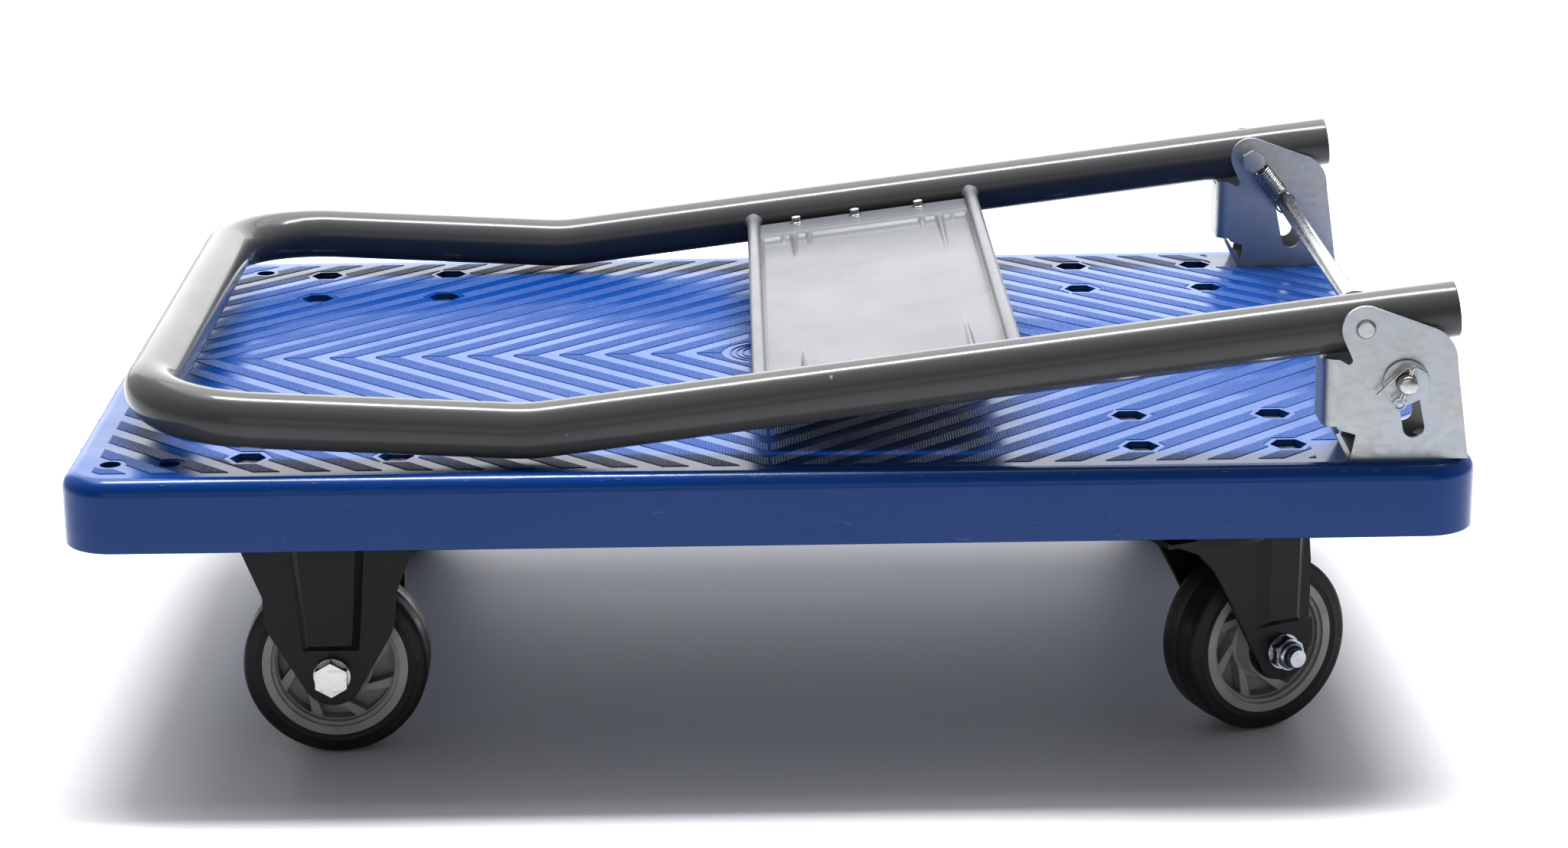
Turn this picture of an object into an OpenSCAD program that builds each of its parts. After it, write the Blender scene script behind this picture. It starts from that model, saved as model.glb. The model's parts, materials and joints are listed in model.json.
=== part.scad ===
// Folding platform cart: a moulded deck on two fixed and two swivel casters, with a tubular
// push handle that folds flat over the deck. Millimetres, +Z up, origin on the floor under
// the middle of the deck. The handle hinges at the +X end and the near side is -Y.

/* [Deck] */
// Length of the deck along X
deck_l = 740; // [700:5:800]
// Width of the deck along Y
deck_w = 480; // [470:2:520]
// Height of the moulding, from the foot of its skirt to its top
deck_h = 39; // [36:1:44]
// Thickness of the top skin and of the skirt
deck_wall = 4; // [3:0.5:5]
// Radius of the corners in plan
deck_corner_r = 28; // [20:1:34]
// Radius along the top edge
deck_edge_r = 9; // [5:1:12]

/* [Casters] */
// Wheel diameter
wheel_d = 100; // [96:1:104]
// Tyre width
tyre_w = 32; // [28:1:36]
// Height from the floor to the top of the caster plate
caster_h = 136; // [134:1:140]
// Distance of the caster plates from the middle, along X
caster_x = 235.5; // [220:0.5:240]
// Distance of the caster plates from the middle, along Y
caster_y = 169.5; // [164:0.5:172]
// Bolt spacing of the caster plates along X
plate_bolt_x = 78; // [74:1:82]
// Bolt spacing of the caster plates along Y
plate_bolt_y = 58; // [56:1:62]
// How far a swivelling wheel trails behind its swivel axis
trail = 33; // [28:1:36]
// Angle at which the swivel casters stand
swivel_yaw = 25; // [0:1:60]

/* [Handle] */
// Outer diameter of the handle tube
tube_d = 29.6; // [28:0.2:30]
// Wall of the handle tube
tube_wall = 1.5; // [1.2:0.1:2]
// Distance from the handle pivot to the crossbar
handle_l = 642; // [630:1:648]
// Distance between the axes of the two arms
arm_span = 422; // [420:1:424]
// Length of tube beyond the pivot
tail_l = 50; // [46:1:51]
// Slope of the folded arms
fold_tilt = 7.06; // [6.9:0.02:7.2]
// Distance from the pivot to the slight bend in the arms
kink_l = 436.3; // [430:0.1:440]
// Angle of that bend
kink_deg = 10.2; // [9.8:0.1:10.6]
// Radius of the two corners of the grip
grip_r = 63; // [55:1:70]

/* [Hinge brackets] */
// Distance of the pivot from the middle, along X
pivot_x = 308; // [306:0.5:310]
// Height of the pivot above the deck
pivot_h = 70; // [69:0.5:71]
// Outer width of a bracket
bracket_w = 35; // [34.6:0.2:36]
// Sheet thickness of a bracket
bracket_t = 2; // [1.6:0.1:2.2]
// Travel of the lock rod down its slots
lock_travel = 25; // [24:0.5:25]

/* [Hidden] */
$fn = 48;
eps = 0.01;
deck_top = caster_h - 3 + deck_h;
skirt_z = deck_top - deck_h;
skin_z = deck_top - deck_wall;
arm_y = arm_span / 2;
tube_r = tube_d / 2;
axle_z = wheel_d / 2;
yellow_zinc = [0.78, 0.78, 0.74];
zinc = [0.75, 0.77, 0.80];
deck_blue = [0.05, 0.20, 0.50];
paint_grey = [0.42, 0.42, 0.40];
paint_black = [0.10, 0.10, 0.11];
rubber_black = [0.07, 0.07, 0.07];
rim_grey = [0.55, 0.55, 0.53];

// Deck fixings: M8 hexagon bolts in pockets for the casters, through holes for the brackets
pocket_depth = 8.5;
pocket_corner_d = 19.7;
m8_r = 4;
m8_flats = 13;
m8_head_h = 5.3;
m8_nut_h = 6.5;
m8_hole_r = 4.5;
corner_hole_r = 5.5;
corner_hole_x = [314.5, 345.5];
corner_hole_y = 207.2;
boss_r = 12;
rib_t = 3;
rib_z = caster_h;
rib_xs = [-314, -235.5, -157, -78.5, 0, 78.5, 157, 235.5, 314];
rib_ys = [-169.5, -113, -56.5, 0, 56.5, 113, 169.5];
groove_r = [17.5, 20];
groove_depth = 0.8;

// Casters, measured from the middle of the plate on the floor, with the wheel trailing to +X
plate_t = 3;
plate_l = 102;
plate_w = 82;
fork_half_w = 30;
leg_t = 3;
channel_h = 4;
axle_r = 5;
axle_hole_r = 5.2;
sleeve_r = 7;
bearing_r = 14;
bearing_w = 9;
bearing_gap = 0.05;
hub_r = 18;
hub_half_w = 21;
guard_r = 17;
guard_t = 5;
washer_r = 10;
leg_foot_r = 17;
rim_r = 39.4;
rim_lip_r = 34.7;
rim_step_r = 32.5;
spoke_count = 8;
crown_top = 121.4;
crown_t = 3.4;
shroud_r = 38;
shroud_h = 5;
upper_race_r = 33;
kingpin_r = 7;
kingpin_z = 112;
kingpin_head_r = 12;
kingpin_head_h = 5.8;
race_r = 27;
ball_r = 3.45;
ball_count = 20;
race_z = 128.4;
m10_flats = 17;
m10_head_h = 6.4;
m10_nut_h = 9;
washer_t = 2;
tyre_shoulder_r = 3.5;

// Hinge brackets, near side, in X and height above the deck
bracket_in = arm_y - bracket_w / 2;
bracket_out = arm_y + bracket_w / 2;
web_x = 287.4;
web_z0 = 18;
web_z1 = 54;
web_middle_z1 = 51;
web_bend_r = 7;
web_join_x = 295;
base_x = 302;
base_l = 61.7;
base_t = 3;
front_lip = [[304, 0], [304, 3], [302.6, 3], [296.4, 14.2], [294.6, 13.2], [301.2, 0]];
backing_l = 64;
backing_w = 28;
lock_top = [329.5, 42];
lock_dir = [0.2, -0.98];
slot_w = 11.2;
rod_r = 5;
pin_r = 4;
bush_r = 6;
lock_washer_r = 12;
lock_washer_t = 1.6;
lock_end_l = 9;
split_pin_y = bracket_out + 5;
split_pin_tilt = 25;
spring_y = bracket_in - 7;
wire_r = 0.65;
coil_r = 5.7;
coil_turns = 12;
coil_pitch = 1.55;

// Panel across the handle, along the arms from the pivot
rod_along = [-315, -177.5];
panel_rod_r = 4;
sheet_t = 1.5;
sheet_top = -1.2;
sheet_inset = 3.8;
stud_along = [-288, -251, -211];
stud_y = 187;
stud_r = 3.2;
stud_h = 3.8;
stud_hole_r = 2;
strip_w = 10;
strip_t = 2;

// A cylinder along Y, from y0 to y1
module along_y(r, y0, y1, sides = $fn) {
    translate([0, y0, 0]) rotate([-90, 0, 0]) cylinder(r = r, h = y1 - y0, $fn = sides);
}

// A hexagon standing on Z, given by its width across flats
module hexagon(flats, h) {
    cylinder(d = flats / cos(30), h = h, $fn = 6);
}

// A hexagon bolt with its shank down from z = 0 and its head above
module hex_bolt(r, flats, head_h, shank) {
    translate([0, 0, -shank]) cylinder(r = r, h = shank + head_h / 2);
    intersection() {
        hexagon(flats, head_h);
        // the head's corners are turned off by a shallow cone
        cylinder(r1 = flats * 1.1, r2 = flats * 0.49, h = head_h * 1.6);
    }
}

// A hexagon nut with its bore, standing on z = 0
module hex_nut(r, flats, h) {
    difference() {
        hexagon(flats, h);
        translate([0, 0, -1]) cylinder(r = r, h = h + 2);
    }
}

// Places the near side's piece on the near side, or its mirror image on the far side
module on_side(far) {
    mirror([0, far ? 1 : 0, 0]) children();
}

// ---- Deck ----

module deck_outline_solid() {
    x = deck_l / 2 - deck_corner_r;
    y = deck_w / 2 - deck_corner_r;
    hull() for (sx = [-1, 1], sy = [-1, 1]) translate([sx * x, sy * y, skirt_z]) {
        cylinder(r = deck_corner_r, h = deck_h - deck_edge_r);
        translate([0, 0, deck_h - deck_edge_r]) rotate_extrude($fn = 48)
            intersection() {
                translate([deck_corner_r - deck_edge_r, 0]) circle(r = deck_edge_r, $fn = 32);
                square([deck_corner_r, deck_edge_r]);
            }
    }
}

module deck_bosses() {
    for (cx = [-caster_x, caster_x], cy = [-caster_y, caster_y])
        for (bx = [-1, 1], by = [-1, 1])
            translate([cx + bx * plate_bolt_x / 2, cy + by * plate_bolt_y / 2, rib_z])
                cylinder(r = boss_r, h = skin_z - rib_z + eps);
    for (sx = [-1, 1], sy = [-1, 1], x = corner_hole_x)
        translate([sx * x, sy * corner_hole_y, rib_z])
            cylinder(r = boss_r, h = skin_z - rib_z + eps);
}

module deck_ribs() {
    h = skin_z - rib_z + eps;
    for (x = rib_xs) translate([x - rib_t / 2, -deck_w / 2 + deck_wall, rib_z])
        cube([rib_t, deck_w - 2 * deck_wall, h]);
    for (y = rib_ys) translate([-deck_l / 2 + deck_wall, y - rib_t / 2, rib_z])
        cube([deck_l - 2 * deck_wall, rib_t, h]);
}

module deck_cavity() {
    r = deck_corner_r - deck_wall;
    x = deck_l / 2 - deck_corner_r;
    y = deck_w / 2 - deck_corner_r;
    hull() for (sx = [-1, 1], sy = [-1, 1])
        translate([sx * x, sy * y, skirt_z - 1]) cylinder(r = r, h = skin_z - skirt_z + 1, $fn = 32);
}

module deck_holes() {
    for (cx = [-caster_x, caster_x], cy = [-caster_y, caster_y])
        for (bx = [-1, 1], by = [-1, 1])
            translate([cx + bx * plate_bolt_x / 2, cy + by * plate_bolt_y / 2, 0]) {
                translate([0, 0, deck_top - pocket_depth])
                    cylinder(d = pocket_corner_d, h = pocket_depth + 1, $fn = 6);
                translate([0, 0, skirt_z]) cylinder(r = m8_hole_r, h = deck_h);
            }
    for (sx = [-1, 1], sy = [-1, 1], x = corner_hole_x)
        translate([sx * x, sy * corner_hole_y, skirt_z - 1]) cylinder(r = corner_hole_r, h = deck_h + 2);
}

// Shallow ring pressed into the middle of the deck
module deck_medallion_groove() {
    translate([0, 0, deck_top - groove_depth]) difference() {
        cylinder(r = groove_r[1], h = 2);
        translate([0, 0, -1]) cylinder(r = groove_r[0], h = 4);
    }
}

module deck() {
    color(deck_blue) difference() {
        union() {
            difference() {
                deck_outline_solid();
                deck_cavity();
            }
            intersection() {
                union() {
                    deck_ribs();
                    deck_bosses();
                }
                deck_outline_solid();
            }
        }
        deck_holes();
        deck_medallion_groove();
    }
}

// ---- Casters ----

// Places a piece drawn in the caster's own frame
module fixed_caster(far) {
    on_side(far) translate([-caster_x, -caster_y, 0]) children();
}

module swivel_caster(far) {
    translate([caster_x, far ? caster_y : -caster_y, 0]) rotate(swivel_yaw) on_side(far) children();
}

module at_axle(kind) {
    translate([kind == "swivel" ? trail : 0, 0, axle_z]) children();
}

module plate_pattern() {
    for (bx = [-1, 1], by = [-1, 1])
        translate([bx * plate_bolt_x / 2, by * plate_bolt_y / 2, 0]) children();
}

module caster_plate() {
    translate([0, 0, caster_h - plate_t]) difference() {
        translate([-plate_l / 2, -plate_w / 2, 0]) cube([plate_l, plate_w, plate_t]);
        translate([0, 0, -1]) plate_pattern() cylinder(r = m8_hole_r, h = plate_t + 2);
    }
}

// Points on an arc about c, from angle a0 to a1
function arc(c, r, a0, a1, n = 10) =
    [for (i = [0:n]) c + r * [cos(a0 + (a1 - a0) * i / n), sin(a0 + (a1 - a0) * i / n)]];

// The leg's shoulders stay under the caster nuts
fixed_leg_half = [[29, 134], [29, 125], [31, 124], [46.5, 123.4], [45.5, 120], [40, 106],
    [35.5, 94.5], [35, 80], [32.5, 73]];
fixed_leg = concat(
    [for (p = fixed_leg_half) [-p.x, p.y]],
    arc([0, axle_z], leg_foot_r, 200, 340),
    [for (i = [len(fixed_leg_half) - 1:-1:0]) fixed_leg_half[i]]);
fixed_channel_foot = [[-20.5, 131], [-17, 84], [-15, 64], [15, 64], [17, 84], [20.5, 131]];
fixed_channel_top = [[-16, 131], [-13, 84], [-11.5, 68], [11.5, 68], [13, 84], [16, 131]];

swivel_leg = concat(
    [[-40, crown_top], [-22, 113], [-13, 103], [-5.6, 90], [-0.5, 81], [9.9, 60]],
    arc([trail, axle_z], leg_foot_r - 1, 205, 350),
    [[trail + 15.6, 60], [trail + 15.6, 100], [trail + 13.5, crown_top]]);
swivel_channel_foot = [[13, 119], [14.5, 66], [43, 66], [44, 119]];
swivel_channel_top = [[20, 119], [21, 70], [38, 70], [39, 119]];

// One leg of a fork: an outline in X and Z, standing at y = -fork_half_w and leg_t thick,
// with a pressed channel that stands proud of its outer face
module fork_leg(outline, foot, top) {
    translate([0, -fork_half_w + leg_t, 0]) rotate([90, 0, 0]) {
        linear_extrude(leg_t) polygon(outline);
        hull() {
            translate([0, 0, leg_t - 1]) linear_extrude(1) polygon(foot);
            translate([0, 0, leg_t + channel_h - 0.1]) linear_extrude(0.1) polygon(top);
        }
    }
}

module fork_legs(outline, foot, top, x) {
    difference() {
        for (far = [false, true]) on_side(far) fork_leg(outline, foot, top);
        translate([x, 0, axle_z]) along_y(axle_hole_r, -fork_half_w - 1, fork_half_w + 1);
    }
}

module fixed_fork() {
    color(paint_black) {
        caster_plate();
        fork_legs(fixed_leg, fixed_channel_foot, fixed_channel_top, 0);
    }
}

module swivel_plate() {
    color(paint_black) difference() {
        union() {
            caster_plate();
            translate([0, 0, race_z])
                cylinder(r = upper_race_r, h = caster_h - plate_t - race_z + eps);
        }
        translate([0, 0, race_z - 1]) cylinder(r = kingpin_r, h = 20);
    }
}

module swivel_fork() {
    color(paint_black) {
        fork_legs(swivel_leg, swivel_channel_foot, swivel_channel_top, trail);
        difference() {
            union() {
                translate([-40, -fork_half_w + leg_t - eps, crown_top - crown_t])
                    cube([40 + trail + 13, 2 * (fork_half_w - leg_t + eps), crown_t]);
                translate([0, 0, crown_top - crown_t]) cylinder(r = shroud_r, h = crown_t + shroud_h);
            }
            translate([0, 0, crown_top]) cylinder(r = shroud_r - 2, h = shroud_h + 1);
            translate([0, 0, crown_top - crown_t - 1]) cylinder(r = kingpin_r + 0.1, h = 20);
        }
    }
}

module swivel_balls() {
    color(zinc) for (i = [0:ball_count - 1]) rotate(i * 360 / ball_count)
        translate([race_r, 0, (crown_top + race_z) / 2]) sphere(r = ball_r, $fn = 24);
}

module kingpin() {
    color(zinc) {
        translate([0, 0, kingpin_z + 1]) cylinder(r = kingpin_r, h = caster_h - kingpin_z - 1);
        translate([0, 0, kingpin_z]) cylinder(r = kingpin_head_r, h = kingpin_head_h);
    }
}

shoulder_at = [wheel_d / 2 - tyre_shoulder_r, tyre_w / 2 - tyre_shoulder_r];
tyre_profile = concat(
    [[rim_r, -tyre_w / 2]],
    arc([shoulder_at.x, -shoulder_at.y], tyre_shoulder_r, -90, 0, 6),
    arc(shoulder_at, tyre_shoulder_r, 0, 90, 6),
    [[rim_r, tyre_w / 2]]);

module tyre() {
    color(rubber_black) rotate([90, 0, 0]) rotate_extrude($fn = 96) polygon(tyre_profile);
}

// One window between two slanting spokes
module spoke_window() {
    inner = 20.5;
    outer = 31.6;
    slant = 24;
    step = 360 / spoke_count;
    gap_in = 8.5;
    gap_out = 6;
    polygon(concat(
        arc([0, 0], inner, gap_in, step - gap_in, 3),
        arc([0, 0], outer, slant + step - gap_out, slant + gap_out, 6)));
}

module rim() {
    web = 3;
    face = 11;
    color(rim_grey) rotate([90, 0, 0]) difference() {
        rotate_extrude($fn = 96) polygon([
            [bearing_r, -hub_half_w], [hub_r, -hub_half_w], [hub_r + 1, -face - 1], [hub_r + 2, -face],
            [rim_step_r, -face], [rim_step_r, -14], [rim_lip_r, -14], [rim_lip_r, -tyre_w / 2],
            [rim_r, -tyre_w / 2], [rim_r, tyre_w / 2],
            [rim_lip_r, tyre_w / 2], [rim_lip_r, 14], [rim_step_r, 14], [rim_step_r, face],
            [hub_r + 2, face], [hub_r + 1, face + 1], [hub_r, hub_half_w], [bearing_r, hub_half_w]]);
        for (i = [0:spoke_count - 1]) rotate(i * 360 / spoke_count) {
            translate([0, 0, web]) linear_extrude(face) spoke_window();
            mirror([0, 0, 1]) translate([0, 0, web]) linear_extrude(face) spoke_window();
        }
    }
}

module bearings() {
    color(zinc) for (far = [false, true]) on_side(far) difference() {
        along_y(bearing_r, -hub_half_w + 1, -hub_half_w + 1 + bearing_w);
        along_y(sleeve_r + bearing_gap, -hub_half_w, -hub_half_w + 2 + bearing_w);
    }
}

// The tube clamped between the fork's legs, with a thread guard at each end
module axle_sleeve() {
    half = fork_half_w - leg_t;
    color(paint_black) difference() {
        union() {
            along_y(sleeve_r, -half, half);
            along_y(guard_r, -half, -half + guard_t);
            along_y(guard_r, half - guard_t, half);
        }
        along_y(axle_r, -half - 1, half + 1);
    }
}

// The axle bolt, with its head on the -Y side of a fixed caster and on the +Y side of a swivel one
module axle(kind) {
    flip = kind == "swivel" ? 180 : 0;
    reach = 2 * fork_half_w + washer_t + m10_nut_h + 5;
    color(yellow_zinc) rotate(flip) {
        translate([0, -fork_half_w - washer_t, 0]) rotate([90, 0, 0]) rotate(30)
            hex_bolt(axle_r, m10_flats, m10_head_h, reach);
        difference() {
            along_y(washer_r, -fork_half_w - washer_t, -fork_half_w);
            along_y(axle_r - eps, -fork_half_w - washer_t - 1, -fork_half_w + 1);
        }
    }
}

module axle_nut(kind) {
    flip = kind == "swivel" ? 180 : 0;
    color(zinc) rotate(flip) translate([0, fork_half_w, 0]) rotate([-90, 0, 0]) difference() {
        union() {
            cylinder(r = washer_r, h = 1.5);
            hexagon(m10_flats, m10_nut_h);
            cylinder(r = m10_flats * 0.44, h = m10_nut_h + 1.5);
        }
        translate([0, 0, -1]) cylinder(r = axle_r, h = m10_nut_h + 4);
    }
}

module each_caster() {
    for (cx = [-caster_x, caster_x], cy = [-caster_y, caster_y])
        translate([cx, cy, 0]) plate_pattern() children();
}

module caster_bolts() {
    seat = deck_top - pocket_depth;
    color(zinc) each_caster() translate([0, 0, seat])
        hex_bolt(m8_r, m8_flats, m8_head_h, seat - (caster_h - plate_t) + m8_nut_h + 1);
}

module caster_nuts() {
    color(zinc) each_caster() translate([0, 0, caster_h - plate_t - m8_nut_h])
        hex_nut(m8_r, m8_flats, m8_nut_h);
}

// ---- Hinge brackets ----

// Side plate in X and height above the deck
side_plate = concat(
    [[base_x, 0], [base_x + base_l, 0]],
    arc([337, 52], 19.5, -2, 78, 8),
    arc([pivot_x, pivot_h], 12.3, 75, 205, 10),
    [[298.4, 61.2]],
    arc([299.7, 53.4], 2.1, 20, -100, 5),
    [[web_join_x, web_z1], [web_join_x, web_z0], [296.4, 15.9], [304.6, 13.5], [302.8, 4.3]]);

module slot(r, w) {
    reach = lock_travel + 0.4;
    for (s = [0, reach]) translate([lock_top.x + lock_dir.x * s, 0, lock_top.y + lock_dir.y * s])
        along_y(r, -1, w + 1);
    translate([lock_top.x, 0, lock_top.y]) rotate([0, atan2(-lock_dir.y, lock_dir.x), 0])
        translate([0, -1, -r + 0.05]) cube([reach, w + 2, 2 * r - 0.1]);
}

module bracket_plate() {
    difference() {
        translate([0, bracket_t, 0]) rotate([90, 0, 0]) linear_extrude(bracket_t) polygon(side_plate);
        slot(slot_w / 2, bracket_t);
        translate([pivot_x, 0, pivot_h]) along_y(pin_r, -1, bracket_t + 1);
    }
}

// Quarter bend between a side plate and the web
module web_bend(start) {
    translate([web_x + web_bend_r, 0, web_z0]) rotate([0, 0, start])
        rotate_extrude(angle = 90) translate([web_bend_r - bracket_t, 0])
            square([bracket_t, web_z1 - web_z0]);
}

module bracket() {
    color(zinc) translate([0, 0, deck_top]) {
        translate([0, -bracket_out, 0]) bracket_plate();
        translate([0, -bracket_in - bracket_t, 0]) bracket_plate();
        translate([base_x, -bracket_out + bracket_t - eps, 0]) difference() {
            cube([base_l, bracket_w - 2 * bracket_t + 2 * eps, base_t]);
            for (x = corner_hole_x)
                translate([x - base_x, bracket_out - bracket_t - corner_hole_y, -1])
                    cylinder(r = m8_hole_r, h = base_t + 2);
        }
        translate([0, -bracket_in - bracket_t + eps, 0]) rotate([90, 0, 0])
            linear_extrude(bracket_w - 2 * bracket_t + 2 * eps) polygon(front_lip);
        translate([web_x, -bracket_out + web_bend_r, web_z0])
            cube([bracket_t, bracket_w - 2 * web_bend_r, web_middle_z1 - web_z0]);
        translate([0, -bracket_out + web_bend_r, 0]) web_bend(180);
        translate([0, -bracket_in - web_bend_r, 0]) web_bend(90);
        for (y = [-bracket_out, -bracket_in - bracket_t])
            translate([web_x + web_bend_r - eps, y, web_z0])
                cube([web_join_x - web_x - web_bend_r + 2 * eps, bracket_t, web_z1 - web_z0]);
    }
}

module bracket_bolt_places() {
    for (sy = [-1, 1], x = corner_hole_x) translate([x, sy * corner_hole_y, 0]) children();
}

module bracket_bolts() {
    seat = deck_top + base_t;
    color(zinc) bracket_bolt_places() translate([0, 0, seat])
        hex_bolt(m8_r, m8_flats, m8_head_h, seat - (caster_h - plate_t) + m8_nut_h + 1);
}

module bracket_nuts() {
    color(zinc) bracket_bolt_places() translate([0, 0, caster_h - plate_t - m8_nut_h])
        hex_nut(m8_r, m8_flats, m8_nut_h);
}

module bracket_backing_plates() {
    middle = (corner_hole_x[0] + corner_hole_x[1]) / 2;
    color(zinc) for (far = [false, true]) on_side(far)
        translate([middle, -corner_hole_y, caster_h - plate_t]) difference() {
            translate([-backing_l / 2, -backing_w / 2, 0]) cube([backing_l, backing_w, plate_t]);
            for (x = corner_hole_x) translate([x - middle, 0, -1])
                cylinder(r = m8_hole_r, h = plate_t + 2);
        }
}

// ---- Handle ----

// Places a piece at the pivot with +X along the arms, towards the tail
module at_pivot() {
    translate([pivot_x, 0, deck_top + pivot_h]) children();
}

module along_arms() {
    at_pivot() rotate([0, -fold_tilt, 0]) children();
}

// Shoulder bolt: head inboard, end riveted over on the outer plate
module pivot_bolts() {
    head_h = 5.3;
    color(zinc) at_pivot() for (far = [false, true]) on_side(far) {
        along_y(pin_r, -bracket_out, -spring_y + wire_r + 1);
        translate([0, -bracket_out, 0]) rotate([90, 0, 0]) cylinder(r1 = 5.4, r2 = 4.2, h = 1.6);
        translate([0, -spring_y + wire_r + 0.5, 0]) rotate([-90, 0, 0]) rotate(30)
            hexagon(m8_flats, head_h);
    }
}

// Short sleeve that holds the spring's eye away from the inner plate
module pivot_spacers() {
    color(zinc) at_pivot() for (far = [false, true]) on_side(far) difference() {
        along_y(5.6, -bracket_in, -spring_y - wire_r - 0.3);
        along_y(pin_r, -bracket_in - 1, -spring_y + 1);
    }
}

// Plastic bush that carries each arm on its pivot bolt
module pivot_bushes() {
    half = bracket_w / 2 - bracket_t - 0.2;
    color("white") at_pivot() for (far = [false, true]) on_side(far) difference() {
        along_y(bush_r, -arm_y - half, -arm_y + half);
        along_y(pin_r + 0.1, -arm_y - half - 1, -arm_y + half + 1);
    }
}

kink_r = 120;
kink_tangent = kink_r * tan(kink_deg / 2);
grip_l = handle_l - kink_l;
tube_sides = 32;

// The tube's path as rings [centre, outward, upward], from the near tail round to the far one.
// X runs along the arms from the pivot and Z stands off them.
grip_x = [cos(kink_deg), 0, -sin(kink_deg)];
grip_z = [sin(kink_deg), 0, cos(kink_deg)];
function kink_ring(a, sy) = [
    [-kink_l + kink_tangent - kink_r * sin(a), sy * arm_y, kink_r * (1 - cos(a))],
    [0, sy, 0], [sin(a), 0, cos(a)]];
function grip_ring(a, sy) = [
    [-kink_l, 0, 0] + (-grip_l + grip_r - grip_r * sin(a)) * grip_x
        + [0, sy * (arm_y - grip_r) - grip_r * cos(a), 0],
    -sin(a) * grip_x + [0, -cos(a), 0], grip_z];
kink_steps = [0:kink_deg / 4:kink_deg];
tube_path = concat(
    [[[tail_l, -arm_y, 0], [0, -1, 0], [0, 0, 1]]],
    [for (a = kink_steps) kink_ring(a, -1)],
    [for (a = [0:9:90]) grip_ring(a, -1)],
    [for (a = [90:9:180]) grip_ring(a, 1)],
    [for (a = kink_steps) kink_ring(kink_deg - a, 1)],
    [[[tail_l, arm_y, 0], [0, 1, 0], [0, 0, 1]]]);

function ring_points(ring, r) = [for (i = [0:tube_sides - 1])
    let (t = i * 360 / tube_sides) ring[0] + r * (cos(t) * ring[1] + sin(t) * ring[2])];

// A solid bar of radius r swept along the path
module swept(path, r) {
    n = tube_sides;
    last = len(path) - 1;
    polyhedron(
        points = [for (ring = path) each ring_points(ring, r)],
        faces = concat(
            [[for (i = [0:n - 1]) i]],
            [for (k = [0:last - 1], i = [0:n - 1])
                [k * n + i, (k + 1) * n + i, (k + 1) * n + (i + 1) % n, k * n + (i + 1) % n]],
            [[for (i = [n - 1:-1:0]) last * n + i]]));
}

// The path with its two ends run on a little, for the bore
function run_on(path, d) = [for (k = [0:len(path) - 1])
    k == 0 || k == len(path) - 1 ? [path[k][0] + [d, 0, 0], path[k][1], path[k][2]] : path[k]];

module handle_tube() {
    color(paint_grey) along_arms() difference() {
        swept(tube_path, tube_r);
        swept(run_on(tube_path, 1), tube_r - tube_wall);
        along_y(bush_r, -arm_y - tube_r - 1, -arm_y + tube_r + 1);
        along_y(bush_r, arm_y - tube_r - 1, arm_y + tube_r + 1);
    }
}

// ---- Panel across the handle ----

module panel_rods() {
    reach = arm_y - tube_r;
    color(paint_grey) along_arms() for (x = rod_along) translate([x, 0, 0])
        along_y(panel_rod_r, -reach, reach);
}

sheet_x0 = rod_along[0] + sheet_inset;
sheet_l = rod_along[1] - sheet_inset - sheet_x0;

module panel_sheet() {
    half = arm_y - tube_r - 4;
    color(paint_grey) along_arms() translate([0, 0, sheet_top - sheet_t]) difference() {
        translate([sheet_x0, -half, 0]) cube([sheet_l, 2 * half, sheet_t]);
        for (x = stud_along, y = [-stud_y, stud_y]) translate([x, y, -1])
            cylinder(r = stud_hole_r, h = sheet_t + 2);
    }
}

// Steel strip under each end of the sheet, which the studs pass through
module panel_strips() {
    color(paint_grey) along_arms() for (y = [-stud_y, stud_y])
        translate([0, y, sheet_top - sheet_t - strip_t]) difference() {
            translate([sheet_x0, -strip_w / 2, 0]) cube([sheet_l, strip_w, strip_t]);
            for (x = stud_along) translate([x, 0, -1]) cylinder(r = stud_hole_r, h = strip_t + 2);
        }
}

module panel_studs() {
    under = sheet_top - sheet_t - strip_t;
    head_t = 1.5;
    color(zinc) along_arms() for (x = stud_along, y = [-stud_y, stud_y]) translate([x, y, 0]) {
        translate([0, 0, under]) cylinder(r = stud_hole_r, h = sheet_t + strip_t + eps);
        translate([0, 0, sheet_top]) cylinder(r = stud_r, h = stud_h);
        translate([0, 0, sheet_top + stud_h]) cylinder(r1 = stud_r, r2 = stud_r - 0.85, h = 0.6);
        translate([0, 0, under - head_t]) cylinder(r = 3.5, h = head_t);
    }
}

// ---- Lock rod ----

module at_lock() {
    translate([lock_top.x, 0, deck_top + lock_top.y]) children();
}

// The rod from one inner plate to the other
module lock_rod() {
    color(zinc) at_lock() along_y(rod_r, -bracket_in - bracket_t, bracket_in + bracket_t);
}

// Its two ends, outside the swing of the tube's tails
module lock_rod_ends() {
    color(zinc) at_lock() for (far = [false, true]) on_side(far) difference() {
        union() {
            along_y(rod_r, -bracket_out - lock_end_l, -bracket_out + bracket_t);
            translate([0, -bracket_out - lock_end_l, 0]) rotate([90, 0, 0])
                cylinder(r1 = rod_r, r2 = rod_r - 1, h = 1);
        }
        translate([0, -split_pin_y, 0]) rotate([0, split_pin_tilt, 0]) translate([0, 0, -8])
            cylinder(r = 1.6, h = 16);
    }
}

module lock_washers() {
    color(zinc) at_lock() for (far = [false, true]) on_side(far) difference() {
        along_y(lock_washer_r, -bracket_out - 0.1 - lock_washer_t, -bracket_out - 0.1);
        along_y(rod_r + 0.1, -bracket_out - 3, -bracket_out + 1);
    }
}

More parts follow.
